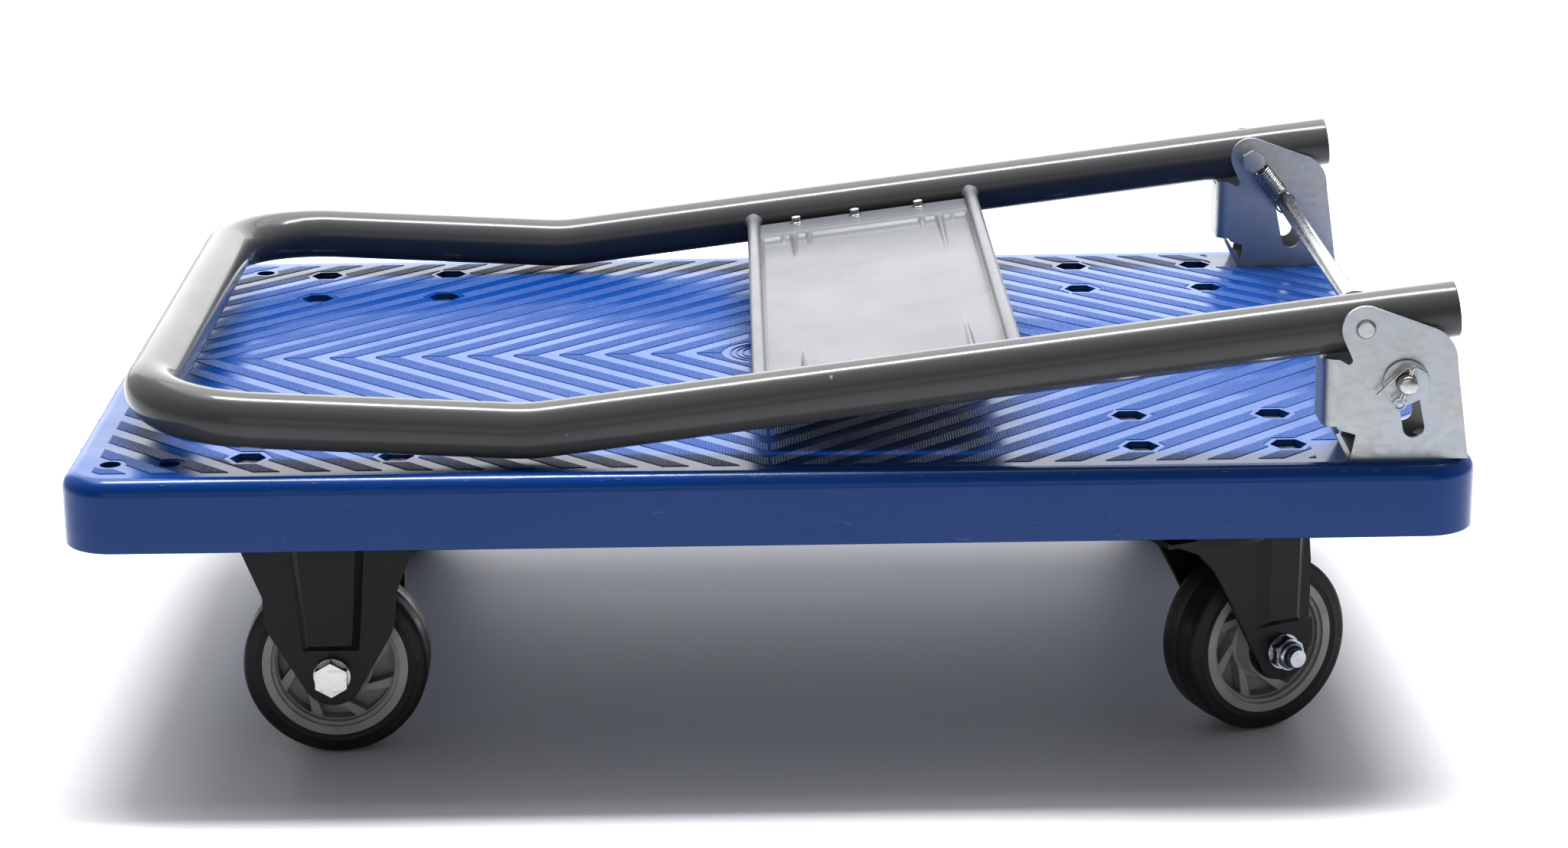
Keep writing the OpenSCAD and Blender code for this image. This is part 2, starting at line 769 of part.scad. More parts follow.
module lock_split_pins() {
    color(zinc) at_lock() for (far = [false, true]) on_side(far)
        translate([0, -split_pin_y, 0]) rotate([0, split_pin_tilt, 0]) {
            translate([0, 0, -9]) cylinder(r = 1.4, h = 25);
            translate([0, 0, -12.2]) rotate([90, 0, 0])
                rotate_extrude() translate([3.2, 0]) circle(r = 1.2, $fn = 24);
        }
}

// Extension spring from the pivot bolt to the lock rod
spring_run = [lock_top.x - pivot_x, lock_top.y - pivot_h];
spring_l = norm(spring_run);
coil_start = 8.6;

module eye(r) {
    rotate([90, 0, 0]) rotate_extrude() translate([r, 0]) circle(r = wire_r, $fn = 16);
}

// From the eye to the end turn of the coil
module hook(from, to) {
    translate([from, 0, 0]) rotate([0, 90, 0]) cylinder(r = wire_r, h = to - from, $fn = 16);
    translate([to, 0, 0]) cylinder(r = wire_r, h = coil_r, $fn = 16);
}

module spring() {
    first = coil_start;
    last = first + (coil_turns - 1) * coil_pitch;
    color("dimgray") at_pivot() translate([0, -spring_y, 0])
        rotate([0, atan2(-spring_run.y, spring_run.x), 0]) {
            eye(pin_r + 1.4);
            translate([spring_l, 0, 0]) eye(rod_r + 1.3);
            for (i = [0:coil_turns - 1]) translate([first + i * coil_pitch, 0, 0]) rotate([0, 90, 0])
                rotate_extrude() translate([coil_r, 0]) circle(r = wire_r, $fn = 16);
            hook(pin_r + 1.4, first);
            translate([spring_l, 0, 0]) mirror([1, 0, 0]) hook(rod_r + 1.3, spring_l - last);
        }
}

deck();
bracket();  // bracket_near
on_side(true) bracket();  // bracket_far
bracket_bolts();
bracket_nuts();
bracket_backing_plates();
pivot_bolts();
pivot_spacers();
pivot_bushes();
handle_tube();
panel_sheet();
panel_rods();
panel_studs();
panel_strips();
lock_rod();
lock_rod_ends();
lock_washers();
lock_split_pins();
spring();  // spring_near
on_side(true) spring();  // spring_far
caster_bolts();
caster_nuts();
fixed_caster(false) fixed_fork();  // fixed_fork_near
fixed_caster(true) fixed_fork();  // fixed_fork_far
swivel_caster(false) rotate(-swivel_yaw) swivel_plate();  // swivel_plate_near
swivel_caster(true) rotate(swivel_yaw) swivel_plate();  // swivel_plate_far
swivel_caster(false) swivel_fork();  // swivel_fork_near
swivel_caster(true) swivel_fork();  // swivel_fork_far
swivel_caster(false) swivel_balls();  // swivel_balls_near
swivel_caster(true) swivel_balls();  // swivel_balls_far
swivel_caster(false) kingpin();  // kingpin_near
swivel_caster(true) kingpin();  // kingpin_far
fixed_caster(false) at_axle("fixed") tyre();  // tyre_fixed_near
fixed_caster(true) at_axle("fixed") tyre();  // tyre_fixed_far
swivel_caster(false) at_axle("swivel") tyre();  // tyre_swivel_near
swivel_caster(true) at_axle("swivel") tyre();  // tyre_swivel_far
fixed_caster(false) at_axle("fixed") rim();  // rim_fixed_near
fixed_caster(true) at_axle("fixed") rim();  // rim_fixed_far
swivel_caster(false) at_axle("swivel") rim();  // rim_swivel_near
swivel_caster(true) at_axle("swivel") rim();  // rim_swivel_far
fixed_caster(false) at_axle("fixed") bearings();  // bearings_fixed_near
fixed_caster(true) at_axle("fixed") bearings();  // bearings_fixed_far
swivel_caster(false) at_axle("swivel") bearings();  // bearings_swivel_near
swivel_caster(true) at_axle("swivel") bearings();  // bearings_swivel_far
fixed_caster(false) at_axle("fixed") axle("fixed");  // axle_fixed_near
fixed_caster(true) at_axle("fixed") axle("fixed");  // axle_fixed_far
swivel_caster(false) at_axle("swivel") axle("swivel");  // axle_swivel_near
swivel_caster(true) at_axle("swivel") axle("swivel");  // axle_swivel_far
fixed_caster(false) at_axle("fixed") axle_nut("fixed");  // axle_nut_fixed_near
fixed_caster(true) at_axle("fixed") axle_nut("fixed");  // axle_nut_fixed_far
swivel_caster(false) at_axle("swivel") axle_nut("swivel");  // axle_nut_swivel_near
swivel_caster(true) at_axle("swivel") axle_nut("swivel");  // axle_nut_swivel_far
fixed_caster(false) at_axle("fixed") axle_sleeve();  // axle_sleeve_fixed_near
fixed_caster(true) at_axle("fixed") axle_sleeve();  // axle_sleeve_fixed_far
swivel_caster(false) at_axle("swivel") axle_sleeve();  // axle_sleeve_swivel_near
swivel_caster(true) at_axle("swivel") axle_sleeve();  // axle_sleeve_swivel_far
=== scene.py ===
import json
import math
import bmesh
import bpy
from mathutils import Matrix, Vector, noise


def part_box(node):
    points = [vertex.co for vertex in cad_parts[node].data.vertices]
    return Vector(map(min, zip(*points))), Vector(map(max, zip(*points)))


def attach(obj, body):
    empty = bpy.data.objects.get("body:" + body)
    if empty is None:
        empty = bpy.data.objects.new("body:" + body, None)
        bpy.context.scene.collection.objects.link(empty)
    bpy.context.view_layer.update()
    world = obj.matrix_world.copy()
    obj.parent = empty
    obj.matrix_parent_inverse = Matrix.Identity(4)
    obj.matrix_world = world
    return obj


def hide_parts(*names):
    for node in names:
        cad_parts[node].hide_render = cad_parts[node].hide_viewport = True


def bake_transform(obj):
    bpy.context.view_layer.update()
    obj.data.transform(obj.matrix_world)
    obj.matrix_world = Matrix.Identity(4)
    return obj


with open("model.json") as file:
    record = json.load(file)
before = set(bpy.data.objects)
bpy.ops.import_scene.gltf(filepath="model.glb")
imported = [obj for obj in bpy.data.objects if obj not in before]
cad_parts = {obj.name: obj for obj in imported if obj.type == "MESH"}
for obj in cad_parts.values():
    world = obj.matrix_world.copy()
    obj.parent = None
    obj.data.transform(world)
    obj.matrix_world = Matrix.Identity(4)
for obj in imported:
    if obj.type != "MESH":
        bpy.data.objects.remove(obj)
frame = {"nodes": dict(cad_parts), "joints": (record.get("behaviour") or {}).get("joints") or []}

scene = bpy.context.scene
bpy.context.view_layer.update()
mm = 0.001
joints = {joint["name"]: joint for joint in frame["joints"]}
deckLow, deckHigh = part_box("deck")
foldPivot = Vector(joints["handle_fold"]["pos_m"])


def loft(rings, wrap=False):
    # joins rings of equal length, capping both ends unless it wraps round
    count = len(rings[0])
    points = [point for ring in rings for point in ring]
    faces = []
    for k in range(len(rings) if wrap else len(rings) - 1):
        a, b = k * count, ((k + 1) % len(rings)) * count
        for i in range(count):
            j = (i + 1) % count
            faces.append((a + i, a + j, b + j, b + i))
    if not wrap:
        faces.append(tuple(range(count)))
        faces.append(tuple((len(rings) - 1) * count + i for i in range(count)))
    return points, faces


def across(axis):
    # two directions square to an axis
    side = axis.cross(Vector((0, 0, 1)) if abs(axis.z) < 0.9 else Vector((1, 0, 0))).normalized()
    return side, axis.cross(side)


def turnsOf(count):
    # angles spread evenly round a circle
    return [2 * math.pi * i / count for i in range(count)]


def ringAt(centre, radius, side, up, sides):
    return [centre + radius * (math.cos(t) * side + math.sin(t) * up) for t in turnsOf(sides)]


def lathe(profile, centre, axis, segments=64):
    # turns a closed outline of (radius, along) about an axis
    axis = Vector(axis).normalized()
    side, up = across(axis)
    rings = []
    for turn in turnsOf(segments):
        out = math.cos(turn) * side + math.sin(turn) * up
        rings.append([centre + radius * out + along * axis for radius, along in profile])
    return loft(rings, wrap=True)


def sweep(path, radius, sides=12):
    # a round bar along a path, without twist
    rings = []
    forward = (path[1] - path[0]).normalized()
    side, up = across(forward)
    for k, point in enumerate(path):
        ahead = path[min(k + 1, len(path) - 1)] - path[max(k - 1, 0)]
        turn = forward.rotation_difference(ahead)
        forward, side = ahead.normalized(), turn @ side
        up = forward.cross(side)
        rings.append(ringAt(point, radius, side, up, sides))
    return loft(rings)


def arc(centre, radius, start, stop, steps):
    # points of a flat arc, with its angles in degrees
    angles = [math.radians(start + (stop - start) * i / steps) for i in range(steps + 1)]
    return [(centre[0] + radius * math.cos(a), centre[1] + radius * math.sin(a)) for a in angles]


def merged(parts):
    # several meshes as one list of points and faces
    points, faces = [], []
    for somePoints, someFaces in parts:
        faces += [tuple(i + len(points) for i in face) for face in someFaces]
        points += somePoints
    return points, faces


def makeObject(name, points, faces):
    mesh = bpy.data.meshes.new(name)
    mesh.from_pydata([tuple(point) for point in points], [], faces)
    shape = bmesh.new()
    shape.from_mesh(mesh)
    bmesh.ops.recalc_face_normals(shape, faces=shape.faces)
    shape.to_mesh(mesh)
    shape.free()
    made = bpy.data.objects.new(name, mesh)
    scene.collection.objects.link(made)
    return made


def cutAway(target, cutter, ownOverlaps=False):
    # takes the cutter out of the target and keeps the result as a plain mesh
    cut = target.modifiers.new("cut", "BOOLEAN")
    cut.object = cutter
    cut.operation = "DIFFERENCE"
    cut.solver = "EXACT"
    cut.use_self = ownOverlaps
    result = bpy.data.meshes.new_from_object(
        target.evaluated_get(bpy.context.evaluated_depsgraph_get()))
    target.modifiers.clear()
    target.data = result
    bpy.data.objects.remove(cutter)
    return target


def softenEdges(piece, width, steps=2, limit=32):
    bevel = piece.modifiers.new("edges", "BEVEL")
    bevel.width = width
    bevel.segments = steps
    bevel.limit_method = "ANGLE"
    bevel.angle_limit = math.radians(limit)
    bevel.use_clamp_overlap = True
    bevel.harden_normals = False
    even = piece.modifiers.new("shading", "WEIGHTED_NORMAL")
    even.keep_sharp = True


def finishPiece(piece, material, body, replaced=(), sharpAngle=38):
    piece.data.materials.clear()
    piece.data.materials.append(material)
    piece.data.shade_smooth()
    piece.data.set_sharp_from_angle(angle=math.radians(sharpAngle))
    if body:
        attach(piece, body)
    if replaced:
        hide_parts(*replaced)


def dressNode(name, material, edge=0.0, steps=2):
    # a CAD node keeps its shape, with a finish and softened edges
    node = frame["nodes"][name]
    node.data.materials.clear()
    node.data.materials.append(material)
    if edge:
        weld = node.modifiers.new("weld", "WELD")
        weld.merge_threshold = 1e-6
        flat = node.modifiers.new("flat", "DECIMATE")
        flat.decimate_type = "DISSOLVE"
        flat.angle_limit = math.radians(0.8)
        softenEdges(node, edge, steps)


def addNode(tree, kind, inputs=None, **settings):
    made = tree.nodes.new("ShaderNode" + kind)
    for key, value in settings.items():
        setattr(made, key, value)
    for key, value in (inputs or {}).items():
        if isinstance(value, bpy.types.NodeSocket):
            tree.links.new(value, made.inputs[key])
        else:
            made.inputs[key].default_value = value
    return made


def startMaterial(name, fixed):
    material = bpy.data.materials.new(name)
    material.use_nodes = True
    tree = material.node_tree
    shader = tree.nodes["Principled BSDF"]
    for socket, value in fixed.items():
        shader.inputs[socket].default_value = value
    place = addNode(tree, "TexCoord").outputs["Object"]
    return material, tree, shader, place


def noiseOf(tree, place, scale, detail=3.0, stretch=(1, 1, 1)):
    spread = addNode(tree, "Mapping", {"Vector": place, "Scale": stretch})
    return addNode(tree, "TexNoise", {
        "Vector": spread.outputs["Vector"], "Scale": scale, "Detail": detail}).outputs["Fac"]


def fromTo(tree, value, low, high, start=0.35, stop=0.65):
    return addNode(tree, "MapRange", {
        "Value": value, "From Min": start, "From Max": stop, "To Min": low, "To Max": high},
        clamp=True).outputs["Result"]


def mixColours(tree, share, first, second):
    blend = addNode(tree, "Mix", data_type="RGBA")
    for index, value in ((0, share), (6, first), (7, second)):
        if isinstance(value, bpy.types.NodeSocket):
            tree.links.new(value, blend.inputs[index])
        else:
            blend.inputs[index].default_value = value
    return blend.outputs[2]


def addBumps(tree, shader, layers):
    # each layer is (height, strength, distance)
    normal = None
    for height, strength, distance in layers:
        inputs = {"Height": height, "Strength": strength, "Distance": distance}
        if normal:
            inputs["Normal"] = normal
        normal = addNode(tree, "Bump", inputs).outputs["Normal"]
    tree.links.new(normal, shader.inputs["Normal"])


deckFinish = {
    "blue": (0.001, 0.056, 0.24, 1), "deepBlue": (0.001, 0.047, 0.20, 1),
    "scuff": (0.10, 0.22, 0.55, 1), "grainScale": 1500, "waveScale": 11,
    "knurlPitch": 1.5 * mm,
}


def makeDeckPlastic(name, roughLow, roughHigh, gloss, knurled):
    material, tree, shader, place = startMaterial(name, {
        "Specular IOR Level": gloss, "IOR": 1.49})
    cloud = noiseOf(tree, place, 9, 4)
    scratch = noiseOf(tree, place, 60, 6, (1, 9, 3))
    scuffs = fromTo(tree, scratch, 0, 0.4, 0.71, 0.77)
    colour = mixColours(tree, cloud, deckFinish["blue"], deckFinish["deepBlue"])
    colour = mixColours(tree, scuffs, colour, deckFinish["scuff"])
    tree.links.new(colour, shader.inputs["Base Color"])
    rough = addNode(tree, "Math", {0: fromTo(tree, cloud, roughLow, roughHigh), 1: scuffs},
                    operation="ADD")
    tree.links.new(rough.outputs[0], shader.inputs["Roughness"])
    grain = noiseOf(tree, place, deckFinish["grainScale"], 2)
    wave = noiseOf(tree, place, deckFinish["waveScale"], 1, (0.6, 1.6, 1))
    layers = [(wave, 0.30, 0.004), (grain, 0.08, 0.0002), (scratch, 0.05, 0.0006)]
    if knurled:
        pips = addNode(tree, "TexVoronoi", {
            "Vector": place, "Scale": 1 / deckFinish["knurlPitch"], "Randomness": 0.0},
            distance="CHEBYCHEV").outputs["Distance"]
        layers.append((pips, 1.0, 0.0010))
    addBumps(tree, shader, layers)
    return material


def makePaint(name, colour, dark, rough, peel, speck, coat):
    # gloss paint: orange peel, faint clouds and a few chips
    material, tree, shader, place = startMaterial(name, {
        "Specular IOR Level": 0.2, "Coat Weight": coat, "Coat Roughness": 0.05})
    cloud = noiseOf(tree, place, 22, 4)
    chips = fromTo(tree, noiseOf(tree, place, 170, 5), 0, 1, 0.745, 0.76)
    mixed = mixColours(tree, cloud, colour, dark)
    mixed = mixColours(tree, chips, mixed, speck)
    tree.links.new(mixed, shader.inputs["Base Color"])
    tree.links.new(fromTo(tree, cloud, rough, rough * 1.3), shader.inputs["Roughness"])
    addBumps(tree, shader, [
        (noiseOf(tree, place, 260, 2), peel, 0.0004), (noiseOf(tree, place, 1600, 2), 0.04, 0.0001)])
    return material


def makeZinc(name, rough, base, tint, mottle=0.5):
    # passivated zinc: a cool grey with faint drifting tints and fine rolling marks
    material, tree, shader, place = startMaterial(name, {"Metallic": 1.0})
    drift = noiseOf(tree, place, 34, 3)
    bloom = noiseOf(tree, place, 190, 5, (1, 1, 2))
    colour = mixColours(tree, fromTo(tree, drift, 0, mottle), base, tint)
    dull = tuple(channel * 0.80 for channel in base[:3]) + (1,)
    colour = mixColours(tree, fromTo(tree, bloom, 0, mottle * 0.6, 0.45, 0.75), colour, dull)
    tree.links.new(colour, shader.inputs["Base Color"])
    tree.links.new(fromTo(tree, bloom, rough, rough + 0.10), shader.inputs["Roughness"])
    marks = noiseOf(tree, place, 520, 3, (0.15, 1, 1))
    addBumps(tree, shader, [(marks, 0.03, 0.0001), (noiseOf(tree, place, 1500, 2), 0.02, 0.00005)])
    return material


def makeRubber():
    material, tree, shader, place = startMaterial("tyreRubber", {"Specular IOR Level": 0.35})
    dust = noiseOf(tree, place, 45, 5)
    specks = fromTo(tree, noiseOf(tree, place, 420, 4), 0, 0.5, 0.68, 0.74)
    colour = mixColours(tree, fromTo(tree, dust, 0, 1),
                        (0.010, 0.010, 0.011, 1), (0.022, 0.021, 0.020, 1))
    colour = mixColours(tree, specks, colour, (0.14, 0.13, 0.12, 1))
    tree.links.new(colour, shader.inputs["Base Color"])
    tree.links.new(fromTo(tree, dust, 0.36, 0.58), shader.inputs["Roughness"])
    addBumps(tree, shader, [(noiseOf(tree, place, 900, 3), 0.18, 0.0003), (dust, 0.12, 0.001)])
    return material


def makeMoulding(name, colour, shade, rough):
    # matt moulded plastic with a fine grain
    material, tree, shader, place = startMaterial(name, {"Specular IOR Level": 0.45})
    cloud = noiseOf(tree, place, 60, 4)
    tree.links.new(mixColours(tree, fromTo(tree, cloud, 0, 1), colour, shade),
                   shader.inputs["Base Color"])
    tree.links.new(fromTo(tree, cloud, rough, rough + 0.14), shader.inputs["Roughness"])
    addBumps(tree, shader, [(noiseOf(tree, place, 1200, 3), 0.15, 0.0002)])
    return material


deckPlastic = makeDeckPlastic("deckPlastic", 0.15, 0.24, 0.45, False)
gripPlastic = makeDeckPlastic("gripPlastic", 0.42, 0.52, 0.34, True)
greyPaint = makePaint("greyPaint", (0.090, 0.091, 0.090, 1), (0.078, 0.079, 0.078, 1), 0.20, 0.05,
                      (0.26, 0.26, 0.25, 1), 0.3)
panelPaint = makePaint("panelPaint", (0.125, 0.128, 0.140, 1), (0.120, 0.123, 0.135, 1), 0.24, 0.02,
                       (0.18, 0.18, 0.19, 1), 0.0)
blackPaint = makePaint("blackPaint", (0.008, 0.007, 0.010, 1), (0.012, 0.011, 0.013, 1), 0.26, 0.06,
                       (0.030, 0.030, 0.030, 1), 0.15)
zincPlate = makeZinc("zincPlate", 0.40, (0.47, 0.50, 0.54, 1), (0.50, 0.48, 0.43, 1))
zincBright = makeZinc("zincBright", 0.20, (0.46, 0.48, 0.51, 1), (0.56, 0.54, 0.47, 1), 0.8)
springSteel = makeZinc("springSteel", 0.20, (0.40, 0.43, 0.45, 1), (0.46, 0.50, 0.52, 1))
tyreRubber = makeRubber()
rimPlastic = makeMoulding("rimPlastic", (0.36, 0.355, 0.345, 1), (0.30, 0.295, 0.29, 1), 0.36)
bushNylon = makeMoulding("bushNylon", (0.75, 0.74, 0.70, 1), (0.65, 0.64, 0.60, 1), 0.40)
nutNylon = makeMoulding("nutNylon", (0.02, 0.06, 0.20, 1), (0.02, 0.05, 0.15, 1), 0.35)
print("finishes made")


view = {
    "place": (-0.0167, -2.0142, 0.7191), "headingDeg": 0.778, "downDeg": 16.34,
    "rollDeg": -0.55, "lens": 82.52, "sensor": 36,
}


def addCamera():
    heading, down, roll = (math.radians(view[k]) for k in ("headingDeg", "downDeg", "rollDeg"))
    forward = Vector((math.sin(heading) * math.cos(down), math.cos(heading) * math.cos(down),
                      -math.sin(down)))
    level = forward.cross(Vector((0, 0, 1))).normalized()
    upright = level.cross(forward)
    right = math.cos(roll) * level + math.sin(roll) * upright
    top = -math.sin(roll) * level + math.cos(roll) * upright
    lens = bpy.data.cameras.new("camera")
    lens.lens = view["lens"]
    lens.sensor_width = view["sensor"]
    camera = bpy.data.objects.new("camera", lens)
    turn = Matrix((right, top, -forward)).transposed().to_4x4()
    camera.matrix_world = Matrix.Translation(view["place"]) @ turn
    scene.collection.objects.link(camera)
    scene.camera = camera


studio = {
    "skyFront": 0.14, "skyBack": 0.60, "floorSize": 14.0,
    "floorColour": (0.80, 0.805, 0.82, 1), "floorShade": (0.77, 0.77, 0.79, 1),
    "exposure": 0.45, "gamma": 0.8,
    # each light: place, target, width, depth, watts
    "lights": {
        "strip": ((0.15, 0.30, 1.9), (0.15, 0.10, 0.1), 2.0, 0.30, 52),
        "ceiling": ((0.0, 1.1, 2.5), (0.0, 0.30, 0.1), 3.6, 2.4, 52),
        "wall": ((0.0, 3.2, 1.30), (0.0, 0.0, 0.9), 5.0, 2.2, 42),
        "front": ((-0.2, -2.8, 0.75), (0.2, 0.2, 0.2), 2.4, 1.0, 5),
    },
}


def addSky(world):
    # the room is brighter behind the cart than in front of it
    tree = world.node_tree
    direction = addNode(tree, "TexCoord").outputs["Generated"]
    along = addNode(tree, "SeparateXYZ", {"Vector": direction}).outputs["Y"]
    background = tree.nodes["Background"]
    background.inputs["Color"].default_value = (0.97, 0.98, 1.0, 1)
    tree.links.new(fromTo(tree, along, studio["skyFront"], studio["skyBack"], -0.7, 0.8),
                   background.inputs["Strength"])


def addStudio():
    world = bpy.data.worlds.new("studio")
    world.use_nodes = True
    addSky(world)
    scene.world = world
    half = studio["floorSize"] / 2
    corners = [(-half, -half, 0), (half, -half, 0), (half, half, 0), (-half, half, 0)]
    floor = makeObject("floor", corners, [(0, 1, 2, 3)])
    paper, tree, shader, place = startMaterial("floorPaper", {
        "Roughness": 0.55, "Specular IOR Level": 0.3})
    mottled = mixColours(tree, fromTo(tree, noiseOf(tree, place, 3, 4), 0, 0.4),
                         studio["floorColour"], studio["floorShade"])
    tree.links.new(mottled, shader.inputs["Base Color"])
    floor.data.materials.append(paper)
    for name, (place, target, width, depth, watts) in studio["lights"].items():
        lamp = bpy.data.lights.new(name, "AREA")
        lamp.shape = "RECTANGLE"
        lamp.size, lamp.size_y, lamp.energy = width, depth, watts
        light = bpy.data.objects.new(name, lamp)
        light.location = place
        light.rotation_euler = (Vector(target) - Vector(place)).to_track_quat("-Z", "Y").to_euler()
        scene.collection.objects.link(light)
    scene.view_settings.view_transform = "Standard"
    scene.view_settings.exposure = studio["exposure"]
    scene.view_settings.gamma = studio["gamma"]


addCamera()
addStudio()
print("camera and studio set")


# sizes of the moulding, its underside and its holes
deck = {
    "cornerRadius": 28 * mm, "edgeRadius": 9 * mm, "wall": 4 * mm, "footRound": 1 * mm,
    "ribThickness": 3 * mm, "ribSpacing": (78.5 * mm, 56.5 * mm), "ribCounts": (4, 3),
    "ribFoot": 3 * mm, "bossRadius": 12 * mm, "casterAt": (235.5 * mm, 169.5 * mm),
    "casterBolts": (39 * mm, 29 * mm), "pocketDepth": 8.5 * mm, "pocketRadius": 9.85 * mm,
    "boltHole": 4.5 * mm, "cornerHoles": (314.5 * mm, 345.5 * mm), "cornerHoleY": 207.2 * mm,
    "cornerHole": 5.5 * mm,
}
# the pattern of raised bands on top
grip = {
    "reach": (353 * mm, 224 * mm), "pitch": 26.6 * mm, "share": 0.52, "seam": 0.8 * mm,
    "rise": 0.3 * mm, "sunk": 0.5 * mm, "pocketMargin": 3.5 * mm, "holeMargin": 3 * mm,
    "medallionClear": 25 * mm, "firstBand": 1,
}


def roundedRing(halfX, halfY, radius, z, steps=12):
    points = []
    for signX, signY, start in ((1, 1, 0), (-1, 1, 90), (-1, -1, 180), (1, -1, 270)):
        centre = (signX * (halfX - radius), signY * (halfY - radius))
        points += [Vector((x, y, z)) for x, y in arc(centre, radius, start, start + 90, steps)]
    return points


def prism(centre, radius, low, high, sides):
    rings = [[Vector((centre[0] + radius * math.cos(a), centre[1] + radius * math.sin(a), z))
              for a in turnsOf(sides)] for z in (low, high)]
    return loft(rings)


def block(low, high):
    corners = ((low[0], low[1]), (high[0], low[1]), (high[0], high[1]), (low[0], high[1]))
    return loft([[Vector((x, y, z)) for x, y in corners] for z in (low[2], high[2])])


def pocketPlaces():
    casterX, casterY = deck["casterAt"]
    boltX, boltY = deck["casterBolts"]
    return [(sx * casterX + bx * boltX, sy * casterY + by * boltY)
            for sx in (-1, 1) for sy in (-1, 1) for bx in (-1, 1) for by in (-1, 1)]


def cornerPlaces():
    return [(sx * x, sy * deck["cornerHoleY"])
            for sx in (-1, 1) for sy in (-1, 1) for x in deck["cornerHoles"]]


def deckShell():
    halfX, halfY = deckHigh.x, deckHigh.y
    radius, edge, foot, wall = (deck[k] for k in ("cornerRadius", "edgeRadius", "footRound", "wall"))
    low, high = deckLow.z, deckHigh.z
    rings = [roundedRing(halfX - wall, halfY - wall, radius - wall, z)
             for z in (high - wall, low + foot * 0.5)]
    rings.append(roundedRing(halfX - wall + foot * 0.5, halfY - wall + foot * 0.5,
                             radius - wall + foot * 0.5, low))
    for angle in (0, 30, 60, 90):
        inset = foot * (1 - math.sin(math.radians(angle)))
        z = low + foot * (1 - math.cos(math.radians(angle)))
        rings.append(roundedRing(halfX - inset, halfY - inset, radius - inset, z))
    for angle in range(0, 91, 9):
        inset = edge * (1 - math.cos(math.radians(angle)))
        z = high - edge * (1 - math.sin(math.radians(angle)))
        rings.append(roundedRing(halfX - inset, halfY - inset, radius - inset, z))
    return loft(rings)


def deckInside():
    # ribs and bosses under the skin, each let into it a little
    skin, foot = deckHigh.z - deck["wall"] * 0.6, deckLow.z + deck["ribFoot"]
    half, inset = deck["ribThickness"] / 2, deck["wall"] * 0.6
    parts = []
    for k in range(-deck["ribCounts"][0], deck["ribCounts"][0] + 1):
        x = k * deck["ribSpacing"][0]
        parts.append(block((x - half, deckLow.y + inset, foot), (x + half, deckHigh.y - inset, skin)))
    for k in range(-deck["ribCounts"][1], deck["ribCounts"][1] + 1):
        y = k * deck["ribSpacing"][1]
        parts.append(block((deckLow.x + inset, y - half, foot), (deckHigh.x - inset, y + half, skin)))
    parts += [prism(place, deck["bossRadius"], foot, skin, 32)
              for place in pocketPlaces() + cornerPlaces()]
    return parts


def deckCutters(pocketGrow=0.0, holeGrow=0.0, pocketsOnly=False):
    top = deckHigh.z + 5 * mm
    floor = deckHigh.z - deck["pocketDepth"]
    parts = [prism(place, deck["pocketRadius"] + pocketGrow, floor, top, 6) for place in pocketPlaces()]
    if not pocketsOnly:
        parts += [prism(place, deck["boltHole"], deckLow.z - 5 * mm, top, 24)
                  for place in pocketPlaces()]
    parts += [prism(place, deck["cornerHole"] + holeGrow, deckLow.z - 5 * mm, top, 32)
              for place in cornerPlaces()]
    return parts


def makeDeck():
    shell = makeObject("deck_moulding", *merged([deckShell()] + deckInside()))
    cutAway(shell, makeObject("cutters", *merged(deckCutters())), ownOverlaps=True)
    finishPiece(shell, deckPlastic, "chassis", ["deck"])
    softenEdges(shell, 0.35 * mm)


def clipped(polygon, a, b, c):
    # keeps the part of a polygon where a*x + b*y <= c
    kept = []
    for k, (x, y) in enumerate(polygon):
        nextX, nextY = polygon[(k + 1) % len(polygon)]
        here, there = a * x + b * y - c, a * nextX + b * nextY - c
        if here <= 0:
            kept.append((x, y))
        if (here < 0 < there) or (there < 0 < here):
            share = here / (here - there)
            kept.append((x + share * (nextX - x), y + share * (nextY - y)))
    return kept


def makeGrip():
    # raised bands that run as diamonds round the middle, one quarter at a time
    reachX, reachY = grip["reach"]
    seam, pitch = grip["seam"], grip["pitch"]
    low, high = deckHigh.z - grip["sunk"], deckHigh.z + grip["rise"]
    parts = []
    for band in range(grip["firstBand"], int((reachX + reachY) / pitch) + 1):
        start = band * pitch
        outline = [(seam, seam), (reachX, seam), (reachX, reachY), (seam, reachY)]
        outline = clipped(outline, 1, 1, start + grip["share"] * pitch)
        outline = clipped(outline, -1, -1, -start)
        if len(outline) < 3:
            continue
        for sx in (-1, 1):
            for sy in (-1, 1):
                parts.append(loft([[Vector((sx * x, sy * y, z)) for x, y in outline]
                                   for z in (low, high)]))
    bands = makeObject("deck_grip", *merged(parts))
    cutters = deckCutters(grip["pocketMargin"], grip["holeMargin"], pocketsOnly=True)
    cutters.append(prism((0, 0), grip["medallionClear"], deckLow.z, high + 5 * mm, 64))
    for node in ("bracket_near", "bracket_far"):
        foot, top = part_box(node)
        margin = Vector((2 * mm, 2 * mm, 0))
        cutters.append(block(foot - margin - Vector((0, 0, 5 * mm)), top + margin))
    cutAway(bands, makeObject("gripCutters", *merged(cutters)), ownOverlaps=True)
    finishPiece(bands, gripPlastic, "chassis")
    softenEdges(bands, 0.12 * mm, 1)


medallion = {
    "rings": (20 * mm, 16.5 * mm, 13 * mm), "width": 1.3 * mm, "rise": 0.5 * mm, "sunk": 0.5 * mm,
}


